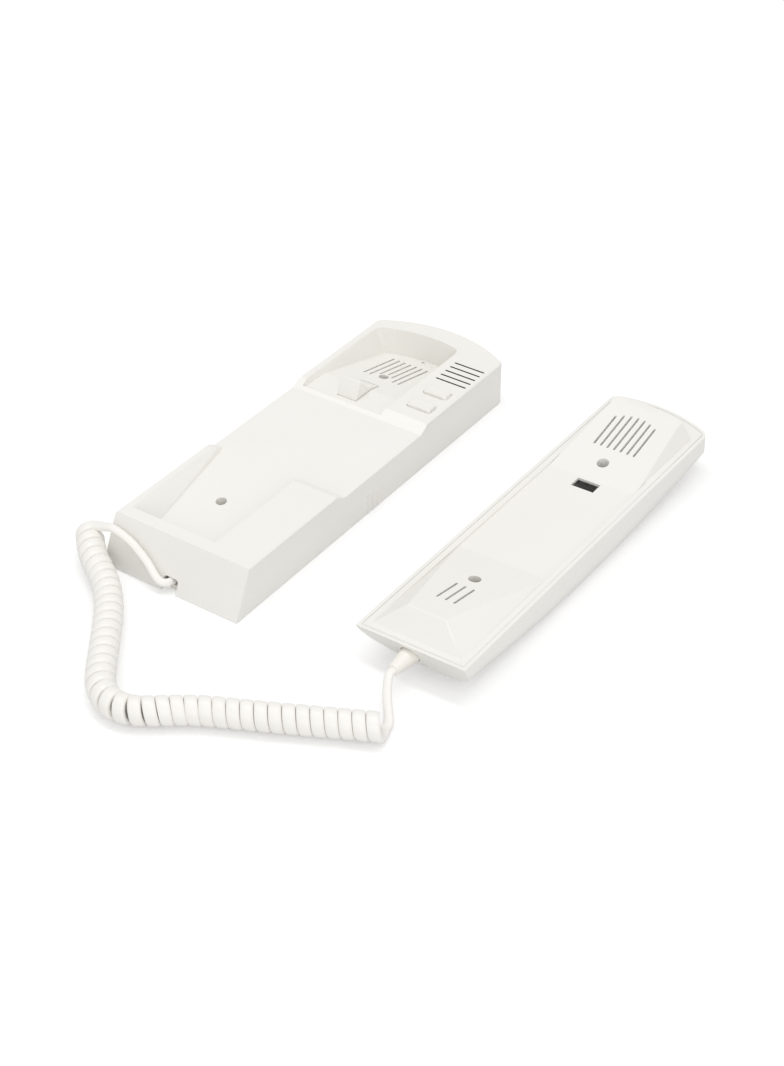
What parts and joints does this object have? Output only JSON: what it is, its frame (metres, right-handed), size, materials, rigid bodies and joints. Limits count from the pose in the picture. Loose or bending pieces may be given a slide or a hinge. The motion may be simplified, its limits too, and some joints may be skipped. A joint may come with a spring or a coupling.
{
  "type": "slimline wall telephone",
  "caption": "Slim white wall telephone lying open: moulded base with two cradle pockets, hook, ringer grille and buttons, the handset beside it and a curly cord between them.",
  "frame": {"origin": "middle of the base's wall face, which lies on the table here", "axes": "+Z out of the wall or up from the table, +Y along the base from its leaning lower end to its arched upper end, +X to the side of the ringer grille and the buttons"},
  "size_m": [0.1875, 0.2871, 0.0281],
  "materials": {
    "white_abs": "satin off-white moulding",
    "white_pvc": "soft white cord jacket",
    "zinc_steel": "zinc plated",
    "black_plastic": "matt",
    "board_green": "satin",
    "brass": "turned",
    "rubber_sleeve": "matt"
  },
  "bodies": {
    "base": {"base_cover": "white_abs", "wall_plate": "white_abs", "circuit_board": "board_green", "terminal_block": "board_green", "terminal_screw_1": "brass", "terminal_screw_2": "brass", "terminal_screw_3": "brass", "terminal_screw_4": "brass", "terminal_screw_5": "brass", "ringer_speaker": "zinc_steel", "lower_button_switch": "black_plastic", "upper_button_switch": "black_plastic", "hook_switch": "black_plastic", "hook_pin": "zinc_steel", "cover_screw_lower": "zinc_steel", "cover_screw_upper": "zinc_steel", "cord_grip": "white_abs", "cord_base_tail": "white_pvc", "cord_coil": "white_pvc"},
    "hook": {"hook_lever": "white_abs"},
    "lower_button": {"lower_button": "white_abs"},
    "upper_button": {"upper_button": "white_abs"},
    "handset": {"handset_back": "white_abs", "handset_front": "white_abs", "handset_boot": "white_pvc", "earpiece_capsule": "zinc_steel", "microphone_capsule": "zinc_steel", "microphone_sleeve": "rubber_sleeve", "handset_screw_lower": "zinc_steel", "handset_screw_upper": "zinc_steel", "cord_handset_tail": "white_pvc"}
  },
  "joints": [
    {"name": "handset_lift", "type": "slide", "parent": "base", "child": "handset", "axis": [0, 0, 1], "range_m": [0, 0.12]},
    {"name": "hook_swing", "type": "hinge", "parent": "base", "child": "hook", "pos_m": [-0.0096, 0.0455, 0.008], "axis": [1, 0, 0], "range_deg": [0, 6], "stiffness_Nm_per_rad": 0.02, "springref_deg": -9.74},
    {"name": "lower_button_press", "type": "slide", "parent": "base", "child": "lower_button", "axis": [0, 0, -1], "range_m": [0, 0.001], "stiffness_N_per_m": 150, "springref_m": -0.003},
    {"name": "upper_button_press", "type": "slide", "parent": "base", "child": "upper_button", "axis": [0, 0, -1], "range_m": [0, 0.001], "stiffness_N_per_m": 150, "springref_m": -0.003}
  ]
}
